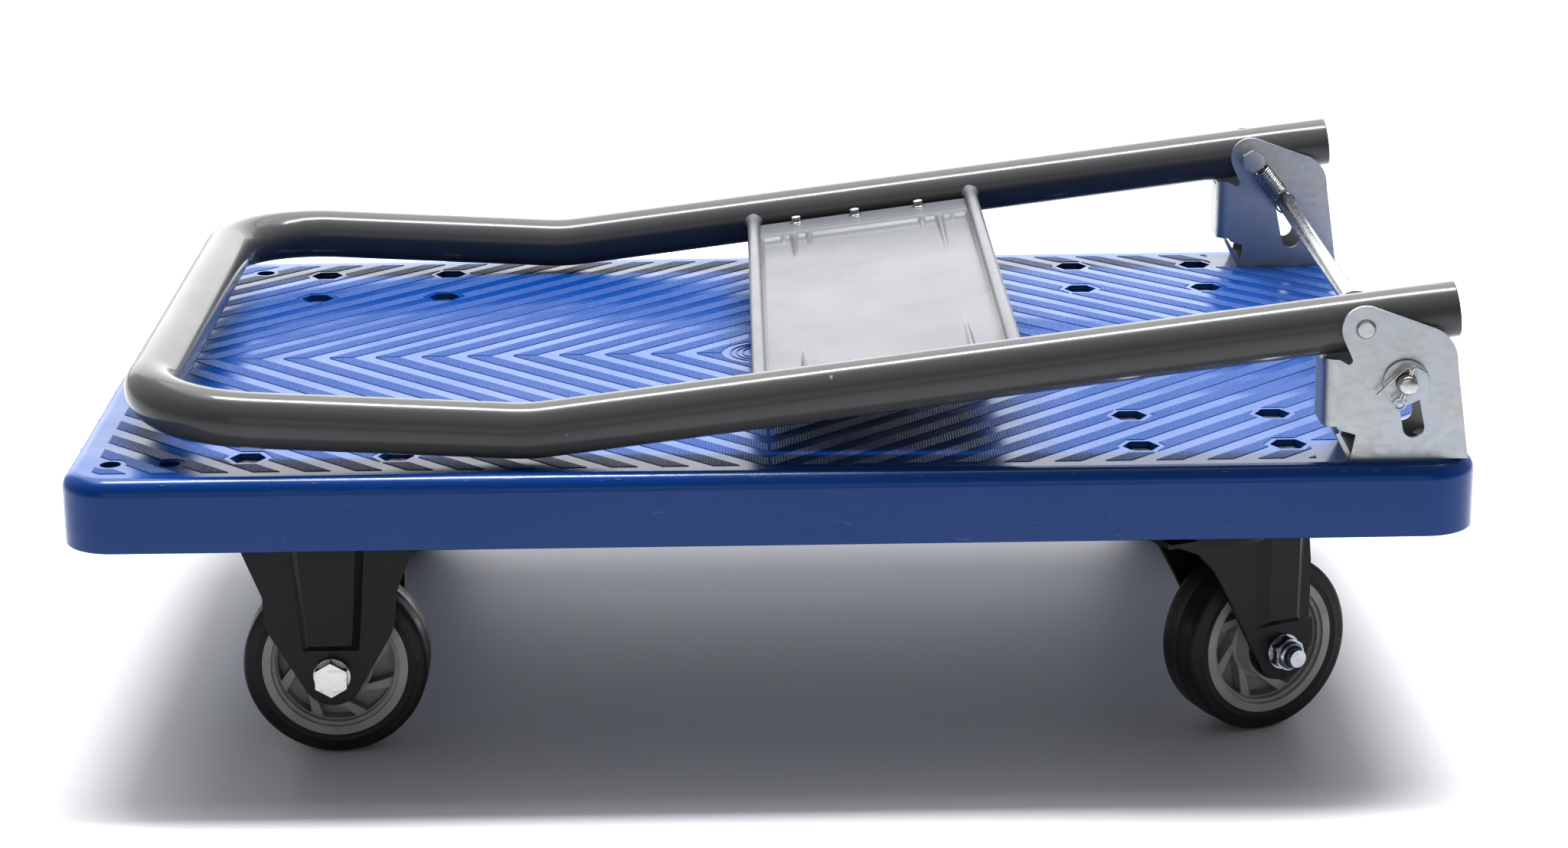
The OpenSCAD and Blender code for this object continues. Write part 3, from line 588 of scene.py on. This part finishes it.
def makeMedallion():
    # three low rings round a plain disc
    top, half = deckHigh.z, medallion["width"] / 2
    parts = []
    for radius in medallion["rings"]:
        profile = [(radius - half, -medallion["sunk"])]
        profile += [(x, y) for x, y in arc((radius, 0), half, 180, 0, 8)]
        profile += [(radius + half, -medallion["sunk"])]
        profile = [(r, h * medallion["rise"] / half if h > 0 else h) for r, h in profile]
        parts.append(lathe(profile, Vector((0, 0, top)), (0, 0, 1), 96))
    rings = makeObject("deck_medallion", *merged(parts))
    finishPiece(rings, deckPlastic, "chassis")


makeDeck()
makeGrip()
makeMedallion()
print("deck made")


# the U of tube: tail, arms, slight bend, two corners and crossbar
handle = {
    "tilt": 7.06, "radius": 14.8 * mm, "wall": 1.5 * mm, "tail": 50 * mm, "kinkAt": 436.3 * mm,
    "kinkDeg": 10.2, "kinkRadius": 120 * mm, "crossbarAt": 205.7 * mm, "cornerRadius": 63 * mm,
    "armY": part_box("handle_tube")[1].y - 14.8 * mm, "bushHole": 6 * mm, "sides": 56, "flatten": 0.035,
    "wrinkle": 0.35 * mm,
}
alongArms = Matrix.Translation(foldPivot) @ Matrix.Rotation(-math.radians(handle["tilt"]), 4, "Y")


def tubePath():
    # rings from the near tail round to the far one: centre, outward, upward, share of bend
    kink, arm = math.radians(handle["kinkDeg"]), handle["armY"]
    tangent = handle["kinkRadius"] * math.tan(kink / 2)
    out = Vector((math.cos(kink), 0, -math.sin(kink)))
    up = Vector((math.sin(kink), 0, math.cos(kink)))
    start = Vector((-handle["kinkAt"], 0, 0))
    straight = handle["crossbarAt"] - handle["cornerRadius"] - tangent
    side = [(Vector((x, -arm, 0)), Vector((0, -1, 0)), Vector((0, 0, 1)), 0)
            for x in (handle["tail"], handle["tail"] - 0.8 * mm, 16 * mm, -16 * mm, -110 * mm, -210 * mm,
                      -310 * mm)]
    for k in range(9):
        a = kink * k / 8
        centre = Vector((-handle["kinkAt"] + tangent - handle["kinkRadius"] * math.sin(a), -arm,
                         handle["kinkRadius"] * (1 - math.cos(a))))
        side.append((centre, Vector((0, -1, 0)), Vector((math.sin(a), 0, math.cos(a))), 0))
    for k in (1, 2):
        centre = start - out * (tangent + straight * k / 3) + Vector((0, -arm, 0))
        side.append((centre, Vector((0, -1, 0)), up, 0))
    for k in range(25):
        a = math.radians(90 * k / 24)
        reach = handle["crossbarAt"] - handle["cornerRadius"] * (1 - math.sin(a))
        centre = start - out * reach
        centre.y = -arm + handle["cornerRadius"] * (1 - math.cos(a))
        outward = -math.sin(a) * out - Vector((0, math.cos(a), 0))
        side.append((centre, outward, up, math.sin(2 * a)))
    flip = Vector((1, -1, 1))
    other = [(centre * flip, outward * flip, upward, bend) for centre, outward, upward, bend in side]
    middle = side[-1]
    bar = [(Vector((middle[0].x, y, middle[0].z)), middle[1], middle[2], 0)
           for y in (-60 * mm, 0, 60 * mm)]
    return side + bar + other[::-1]


def tubeRings(path, radius, endTaper):
    rings = []
    for k, (centre, outward, upward, bend) in enumerate(path):
        taper = endTaper if k in (0, len(path) - 1) else 0
        ring = []
        for t in turnsOf(handle["sides"]):
            r = radius - taper
            inner = max(0.0, -math.cos(t)) ** 3
            # the bend flattens the tube a little and wrinkles its inner side
            spread = Vector((math.cos(t) * (1 - handle["flatten"] * bend), 0,
                             math.sin(t) * (1 + handle["flatten"] * 0.2 * bend)))
            point = centre + r * (spread.x * outward + spread.z * upward)
            ripple = handle["wrinkle"] * inner * bend * math.sin(k * 1.9)
            point += ripple * outward
            ring.append(alongArms @ point)
        rings.append(ring)
    return rings


def makeHandleTube():
    path = tubePath()
    outer = tubeRings(path, handle["radius"], 0.4 * mm)
    inner = tubeRings(path, handle["radius"] - handle["wall"], -0.3 * mm)
    points, faces = loft(outer + inner[::-1], wrap=True)
    tube = makeObject("handle_tube_swept", points, faces)
    holes = []
    for sign in (-1, 1):
        centre = foldPivot + Vector((0, sign * handle["armY"] - 25 * mm, 0))
        outline = [(0.0001 * mm, 0), (handle["bushHole"], 0), (handle["bushHole"], 50 * mm),
                   (0.0001 * mm, 50 * mm)]
        holes.append(lathe(outline, centre, (0, 1, 0), 32))
    cutAway(tube, makeObject("bushHoles", *merged(holes)))
    finishPiece(tube, greyPaint, "handle", ["handle_tube"])


panel = {
    "rodsAt": (-315 * mm, -177.5 * mm), "rodRadius": 4 * mm, "rodSides": 24, "rodSteps": 40,
    "weldRadius": 6.2 * mm, "weldLength": 5 * mm, "weldLump": 0.5 * mm, "sheet": 1.5 * mm,
    "top": -1.2 * mm, "inset": 3.0 * mm, "pressed": 3.6 * mm, "flange": 31 * mm, "step": 6 * mm,
    "edge": 3.5 * mm, "strip": 2 * mm, "gridX": 190, "gridY": 190,
    # each crease: distance from its rod, length, width and height where it starts
    "creases": {-1: ((18, 14, 2.4, 1.2), (24.5, 56, 3.0, 2.8), (34, 30, 2.6, 2.2)),
                1: ((14, 14, 2.4, 1.1), (22, 86, 3.0, 3.0), (33, 24, 2.6, 2.0))},
    "studsAt": (-288 * mm, -251 * mm, -211 * mm), "studY": 187 * mm, "studRadius": 3.1 * mm,
    "studHeight": 4.4 * mm, "studHead": 3.5 * mm, "studHole": 2 * mm, "studPitch": 0.8 * mm,
}
rodReach = handle["armY"] - handle["radius"]


def smoothStep(value, start, stop):
    t = min(max((value - start) / (stop - start), 0.0), 1.0)
    return t * t * (3 - 2 * t)


def creaseHeight(nearRod, side, beyond):
    # sharp little gathers where the pressed step ends
    height = 0.0
    for where, length, width, rise in panel["creases"][side]:
        left = 1 - beyond / (length * mm)
        if left > 0:
            gap = abs(nearRod - where * mm) / (width * mm * (0.35 + 0.65 * left))
            height = max(height, rise * mm * left ** 0.7 * max(0.0, 1 - gap))
    return height


def sheetHeight(x, y, half):
    # the pan is pressed down inside its end flanges, with creases where the metal gathers
    first, last = panel["rodsAt"]
    inside = half - abs(y)
    side = -1 if x - first < last - x else 1
    nearRod = min(x - first, last - x)
    down = smoothStep(inside, panel["flange"], panel["flange"] + panel["step"])
    down *= 0.45 + 0.55 * smoothStep(nearRod, panel["inset"], panel["inset"] + panel["edge"])
    beyond = max(inside - panel["flange"] - panel["step"] * 0.4, 0)
    ripple = 0.25 * mm * math.exp(-((inside - panel["flange"] - 9 * mm) / (3 * mm)) ** 2)
    swell = 0.22 * mm * math.exp(-((nearRod - 30 * mm) / (6 * mm)) ** 2)
    swell *= smoothStep(inside, 40 * mm, 70 * mm)
    wobble = noise.noise(Vector((x, y * 0.4, 0)) * 22) * 0.05 * mm
    gathers = creaseHeight(nearRod, side, beyond) + ripple + swell + wobble
    return -panel["pressed"] * down + down * gathers


def makePanelSheet():
    half = rodReach - 4 * mm
    startX, stopX = panel["rodsAt"][0] + panel["inset"], panel["rodsAt"][1] - panel["inset"]
    countX, countY = panel["gridX"], panel["gridY"]
    top, bottom = [], []
    for i in range(countX + 1):
        x = startX + (stopX - startX) * i / countX
        for j in range(countY + 1):
            # rows crowd towards the two ends, where the shape changes
            y = half * math.sin(math.pi / 2 * (2 * j / countY - 1))
            z = panel["top"] + sheetHeight(x, y, half)
            top.append(alongArms @ Vector((x, y, z)))
            bottom.append(alongArms @ Vector((x, y, z - panel["sheet"])))
    row, total = countY + 1, len(top)
    faces = []
    for i in range(countX):
        for j in range(countY):
            a, b = i * row + j, (i + 1) * row + j
            faces.append((a, b, b + 1, a + 1))
            faces.append((total + a, total + a + 1, total + b + 1, total + b))
    rim = [i * row for i in range(countX + 1)] + [countX * row + j for j in range(1, row)]
    rim += [i * row + countY for i in range(countX - 1, -1, -1)] + list(range(countY - 1, 0, -1))
    for k, a in enumerate(rim):
        b = rim[(k + 1) % len(rim)]
        faces.append((a, b, total + b, total + a))
    sheet = makeObject("panel_pressed_sheet", top + bottom, faces)
    finishPiece(sheet, panelPaint, "handle", ["panel_sheet"], 50)


def makePanelRods():
    # each rod flares into a lumpy weld at both ends
    parts = []
    steps = panel["rodSteps"]
    for x in panel["rodsAt"]:
        rings = []
        for k in range(-steps, steps + 1):
            share = k / steps
            y = rodReach * math.copysign(abs(share) ** 0.35, share) + 1.5 * mm * share
            toTube = rodReach - abs(y)
            weld = math.exp(-max(toTube, 0) / (panel["weldLength"] * 0.5))
            ring = []
            for t in turnsOf(panel["rodSides"]):
                spot = Vector((math.cos(t) * 2, math.sin(t) * 2, x * 90 + share * 9))
                lump = panel["weldLump"] * weld * noise.noise(spot)
                r = panel["rodRadius"] + (panel["weldRadius"] - panel["rodRadius"]) * weld * 0.8 + lump
                ring.append(alongArms @ Vector((x + r * math.cos(t), y, r * math.sin(t))))
            rings.append(ring)
        parts.append(loft(rings))
    rods = makeObject("panel_welded_rods", *merged(parts))
    finishPiece(rods, panelPaint, "handle", ["panel_rods"], 60)


def makePanelStuds():
    # short threaded studs with a rounded end, riveted through the sheet and its strip
    radius, pitch = panel["studRadius"], panel["studPitch"]
    foot, top = panel["top"], panel["top"] + panel["studHeight"]
    under = foot - panel["sheet"] - panel["strip"]
    turns = int((panel["studHeight"] - 1.2 * mm) / pitch)
    head, hole = panel["studHead"], panel["studHole"]
    profile = [(0.01 * mm, under - 1.5 * mm), (head - 0.3 * mm, under - 1.5 * mm),
               (head, under - 1.2 * mm), (head, under), (hole, under), (hole, foot),
               (radius + 0.5 * mm, foot),
               (radius + 0.4 * mm, foot + 0.4 * mm), (radius, foot + 0.6 * mm)]
    for k in range(turns):
        start = foot + 0.6 * mm + k * pitch
        profile += [(radius - 0.35 * mm, start + 0.3 * pitch), (radius, start + 0.55 * pitch),
                    (radius, start + 0.9 * pitch)]
    profile += [(radius - 0.3 * mm, top - 0.5 * mm), (radius - 1.1 * mm, top - 0.1 * mm),
                (0.01 * mm, top)]
    upward = alongArms.to_3x3() @ Vector((0, 0, 1))
    parts = [lathe(profile, alongArms @ Vector((x, y, 0)), upward, 24)
             for x in panel["studsAt"] for y in (-panel["studY"], panel["studY"])]
    studs = makeObject("panel_threaded_studs", *merged(parts))
    finishPiece(studs, zincBright, "handle", ["panel_studs"], 50)


makeHandleTube()
makePanelSheet()
makePanelRods()
makePanelStuds()
dressNode("panel_strips", panelPaint, 0.3 * mm)
print("handle made")


lockLow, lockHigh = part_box("lock_rod")
lockPlace = (lockLow + lockHigh) / 2
lock = {
    # the neck: its radius, its middle, half its length and the length of each slope
    "radius": 5 * mm, "neck": 4.6 * mm, "neckAt": 199.25 * mm, "neckHalf": 1.25 * mm,
    "neckSlope": 1.5 * mm, "rings": (176 * mm, 90 * mm), "endLow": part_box("lock_rod_ends")[0].y,
    "washerY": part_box("lock_washers")[0].y, "pinInset": 4 * mm, "pinWire": 1.3 * mm,
    # the pin's eye and its two bent legs, right and up from the middle of the rod
    "pinEye": (-3.9, -10.2, 3.0),
    "longLeg": ((1.0, 6.0), (0.9, 8.2), (-0.9, 8.6), (-8.5, 1.2), (-15.2, -5.9)),
    "shortLeg": ((2.0, 6.0), (2.6, 8.3), (4.6, 8.6), (9.6, 5.6)), "legLean": 1.8 * mm,
}


def makeLockRod():
    # one bar from end to end, with a neck inside each bracket and a seat under each washer
    half, r, neck = -lock["endLow"], lock["radius"], lock["neck"]
    washer = -lock["washerY"]
    at, flat = lock["neckAt"], lock["neckHalf"]
    slope = flat + lock["neckSlope"]
    sideOf = [(0.01 * mm, half), (r - 1.0 * mm, half), (r - 0.3 * mm, half - 0.5 * mm),
              (r, half - 1.2 * mm), (r, washer + 1.2 * mm), (r - 0.15 * mm, washer + 0.8 * mm),
              (r - 0.15 * mm, washer - 3 * mm), (r, washer - 3.4 * mm), (r, at + slope),
              (neck, at + flat), (neck, at - flat), (r, at - slope)]
    sideOf += [(r, along) for along in lock["rings"]]
    profile = sideOf + [(radius, -along) for radius, along in reversed(sideOf)]
    rod = makeObject("lock_rod_full", *lathe(profile, lockPlace, (0, 1, 0), 48))
    finishPiece(rod, zincBright, "lock_bar", ["lock_rod", "lock_rod_ends"])


def smoothPath(knots, each):
    # a curve through the knots
    path = []
    for k in range(len(knots) - 1):
        a, b = knots[max(k - 1, 0)], knots[k]
        c, d = knots[k + 1], knots[min(k + 2, len(knots) - 1)]
        for i in range(each):
            t = i / each
            path.append(0.5 * ((2 * b) + (c - a) * t + (2 * a - 5 * b + 4 * c - d) * t * t
                               + (3 * b - a - 3 * c + d) * t * t * t))
    path.append(knots[-1])
    return path


def makeSplitPins():
    # each pin is one wire bent into an eye, with its two legs spread over the washer
    wire, parts = lock["pinWire"] / 2, []
    eyeX, eyeZ, eyeRadius = lock["pinEye"]
    for sign in (-1, 1):
        outer = sign * (-lock["endLow"] - lock["pinInset"])
        lean = -sign * lock["legLean"]
        eye = [(x, 0, z) for x, z in arc((eyeX, eyeZ), eyeRadius, 50, -270, 16)]
        longLeg = [(x, share, z) for (x, z), share in zip(lock["longLeg"], (0, 0, 0.1, 0.6, 1))]
        shortLeg = [(x, share, z) for (x, z), share in zip(lock["shortLeg"], (0, 0, 0.3, 0.8))]
        knots = shortLeg[::-1] + eye + longLeg
        knots = [Vector((lockPlace.x + x * mm, outer + lean * share, lockPlace.z + z * mm))
                 for x, share, z in knots]
        parts.append(sweep(smoothPath(knots, 3), wire, 10))
    pins = makeObject("lock_bent_pins", *merged(parts))
    finishPiece(pins, zincBright, "lock_bar", ["lock_split_pins"])


spring = {
    "wire": 0.65 * mm, "coil": 5.7 * mm, "turns": 13, "pitch": 1.45 * mm, "start": 8.6 * mm,
    "topEye": 5.4 * mm, "lockEye": 6.3 * mm, "eyeLean": 0.7 * mm, "eyeSteps": 20, "turnSteps": 18,
    # where the wire leaves each eye, along the spring and out to its side
    "topBend": (7.2 * mm, 1.5 * mm), "lockBend": (8.4 * mm, 0.5 * mm),
    "stretchFrom": 7 * mm, "stretchTo": 7.5 * mm,
}


def springEye(centre, radius, along, flat, lean, startDeg, sweepDeg):
    # an open hook that leans sideways from its start to its end
    eye = []
    for k in range(spring["eyeSteps"] + 1):
        a = math.radians(startDeg + sweepDeg * k / spring["eyeSteps"])
        eye.append(centre + radius * (math.cos(a) * along + math.sin(a) * flat)
                   + lean * k / spring["eyeSteps"])
    return eye


def makeSpring(node, name):
    low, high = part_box(node)
    plane = (low.y + high.y) / 2
    start = Vector((foldPivot.x, plane, foldPivot.z))
    stop = Vector((lockPlace.x, plane, lockPlace.z))
    along = (stop - start).normalized()
    flat = Vector((along.z, 0, -along.x))
    side = Vector((0, 1, 0))
    lean = side * spring["eyeLean"]
    eyeTop = springEye(start, spring["topEye"], along, flat, lean, -40, -310)
    coil = []
    steps = spring["turns"] * spring["turnSteps"]
    for k in range(steps + 1):
        a = 2 * math.pi * k / spring["turnSteps"]
        grow = min(1.0, (k + 5) / 14, (steps - k + 5) / 14)
        coil.append(start + along * (spring["start"] + spring["pitch"] * k / spring["turnSteps"])
                    + spring["coil"] * grow * (math.cos(a) * flat + math.sin(a) * side))
    eyeLow = springEye(stop, spring["lockEye"], along, flat, -lean, 180, -320)
    down, out = spring["topBend"]
    upper = smoothPath([eyeTop[-1], start + along * down + flat * out, coil[0]], 5)
    down, out = spring["lockBend"]
    lower = smoothPath([coil[-1], stop - along * down + flat * out, eyeLow[0]], 5)
    path = eyeTop[:-1] + upper[:-1] + coil[:-1] + lower[:-1] + eyeLow
    made = makeObject(name, *sweep(path, spring["wire"], 10))
    finishPiece(made, springSteel, None, [node])
    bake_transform(made)


makeLockRod()
makeSplitPins()
makeSpring("spring_near", "lock_spring_near")
makeSpring("spring_far", "lock_spring_far")
for node in ("bracket_near", "bracket_far", "lock_washers", "bracket_backing_plates"):
    dressNode(node, zincPlate, 0.45 * mm, 2)
for node in ("bracket_bolts", "bracket_nuts", "pivot_bolts", "pivot_spacers"):
    dressNode(node, zincBright, 0.25 * mm, 2)
dressNode("pivot_bushes", bushNylon, 0.3 * mm)
print("brackets, lock rod and springs made")


tyre = {
    "outer": 50 * mm, "inner": 39.4 * mm, "halfWidth": 16 * mm, "shoulder": 3.6 * mm,
    "crown": 0.5 * mm, "parting": 0.15 * mm, "wallBead": 0.35 * mm,
}


def tyreProfile():
    outer, inner, half, shoulder = (tyre[k] for k in ("outer", "inner", "halfWidth", "shoulder"))
    right = [(inner, half - 0.4 * mm), (inner + 0.4 * mm, half), (inner + 2.2 * mm, half),
             (inner + 2.8 * mm, half + tyre["wallBead"]), (inner + 3.6 * mm, half + tyre["wallBead"]),
             (inner + 4.2 * mm, half)]
    right += arc((outer - shoulder - 0.3 * mm, half - shoulder), shoulder, 90, 12, 8)
    right += [(outer - tyre["crown"] * 0.3, half * 0.5), (outer - 0.02 * mm, 0.8 * mm),
              (outer + tyre["parting"] - 0.02 * mm, 0.3 * mm)]
    return right + [(r, -h) for r, h in reversed(right)]


nut = {
    "flats": 17 * mm, "washerRadius": 10 * mm, "washerThickness": 1.5 * mm, "height": 7 * mm,
    "collarRadius": 7.6 * mm, "collarTop": 10.3 * mm, "ringRadius": 6.2 * mm, "bore": 5 * mm,
    "seat": 5.25 * mm, "sides": 72,
}


def makeLockNut(side):
    # a nut with a turned collar that holds a nylon ring, on the outer end of the swivel axle
    axis = Vector(joints["wheel_roll_swivel_" + side]["axis"])
    low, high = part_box("axle_nut_swivel_" + side)
    middle = (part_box("axle_swivel_" + side)[0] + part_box("axle_swivel_" + side)[1]) / 2
    outward = axis if ((low + high) / 2 - middle).dot(axis) > 0 else -axis
    foot = (low + high) / 2 - outward * nut["seat"]
    sideways, upwards = across(outward)
    bore, collar, top = nut["bore"], nut["collarRadius"], nut["collarTop"]
    wide, thick = nut["washerRadius"], nut["washerThickness"]
    washer = lathe([(bore, 0), (wide - 0.2 * mm, 0), (wide, 0.3 * mm), (wide, thick - 0.3 * mm),
                    (wide - 0.3 * mm, thick), (bore, thick)], foot, outward, 48)
    corner = nut["flats"] / math.sqrt(3)
    rings = []
    for height, trim in ((thick, 0.7), (thick + 0.6 * mm, 0.0),
                         (nut["height"] - 1.0 * mm, 0.0), (nut["height"], 1.0)):
        ring = []
        for t in turnsOf(nut["sides"]):
            toFlat = nut["flats"] / 2 / math.cos((t + math.pi / 6) % (math.pi / 3) - math.pi / 6)
            r = min(toFlat, corner - trim * mm)
            ring.append(foot + outward * height + r * (math.cos(t) * sideways + math.sin(t) * upwards))
        rings.append(ring)
    for height, radius in ((nut["height"], collar), (top - 1.4 * mm, collar),
                           (top - 0.4 * mm, collar - 0.5 * mm), (top, collar - 1.2 * mm),
                           (top - 0.1 * mm, nut["ringRadius"]),
                           (top - 1.2 * mm, nut["ringRadius"] - 0.1 * mm)):
        rings.append(ringAt(foot + outward * height, radius, sideways, upwards, nut["sides"]))
    made = makeObject("axle_lock_nut_" + side, *merged([washer, loft(rings)]))
    finishPiece(made, zincBright, "swivel_" + side, ["axle_nut_swivel_" + side])
    edge = nut["ringRadius"]
    ring = lathe([(bore, top - 1.3 * mm), (edge, top - 1.3 * mm), (edge, top - 0.5 * mm),
                  (edge - 0.4 * mm, top - 0.25 * mm), (bore, top - 0.6 * mm)], foot, outward, 48)
    nylon = makeObject("axle_nylon_ring_" + side, *ring)
    finishPiece(nylon, nutNylon, "swivel_" + side)


for place in ("fixed_near", "fixed_far", "swivel_near", "swivel_far"):
    axis = Vector(joints["wheel_roll_" + place]["axis"])
    low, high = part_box("tyre_" + place)
    centre = (low + high) / 2
    band = makeObject("tyre_band_" + place, *lathe(tyreProfile(), centre, axis, 128))
    finishPiece(band, tyreRubber, "wheel_" + place, ["tyre_" + place])
    dressNode("rim_" + place, rimPlastic, 0.4 * mm, 2)
    dressNode("bearings_" + place, zincBright, 0.3 * mm)
    dressNode("axle_" + place, zincBright, 0.3 * mm, 2)
    if place.startswith("fixed"):
        dressNode("axle_nut_" + place, zincBright, 0.3 * mm, 2)
    else:
        makeLockNut(place[7:])
    dressNode("axle_sleeve_" + place, blackPaint, 0.4 * mm)
for side in ("near", "far"):
    dressNode("fixed_fork_" + side, blackPaint, 1.4 * mm, 4)
    dressNode("swivel_fork_" + side, blackPaint, 1.4 * mm, 4)
    dressNode("swivel_plate_" + side, blackPaint, 0.5 * mm)
    dressNode("swivel_balls_" + side, zincBright)
    dressNode("kingpin_" + side, zincBright, 0.4 * mm)
dressNode("caster_bolts", zincBright, 0.3 * mm, 2)
dressNode("caster_nuts", zincBright, 0.3 * mm, 2)
print("casters made")
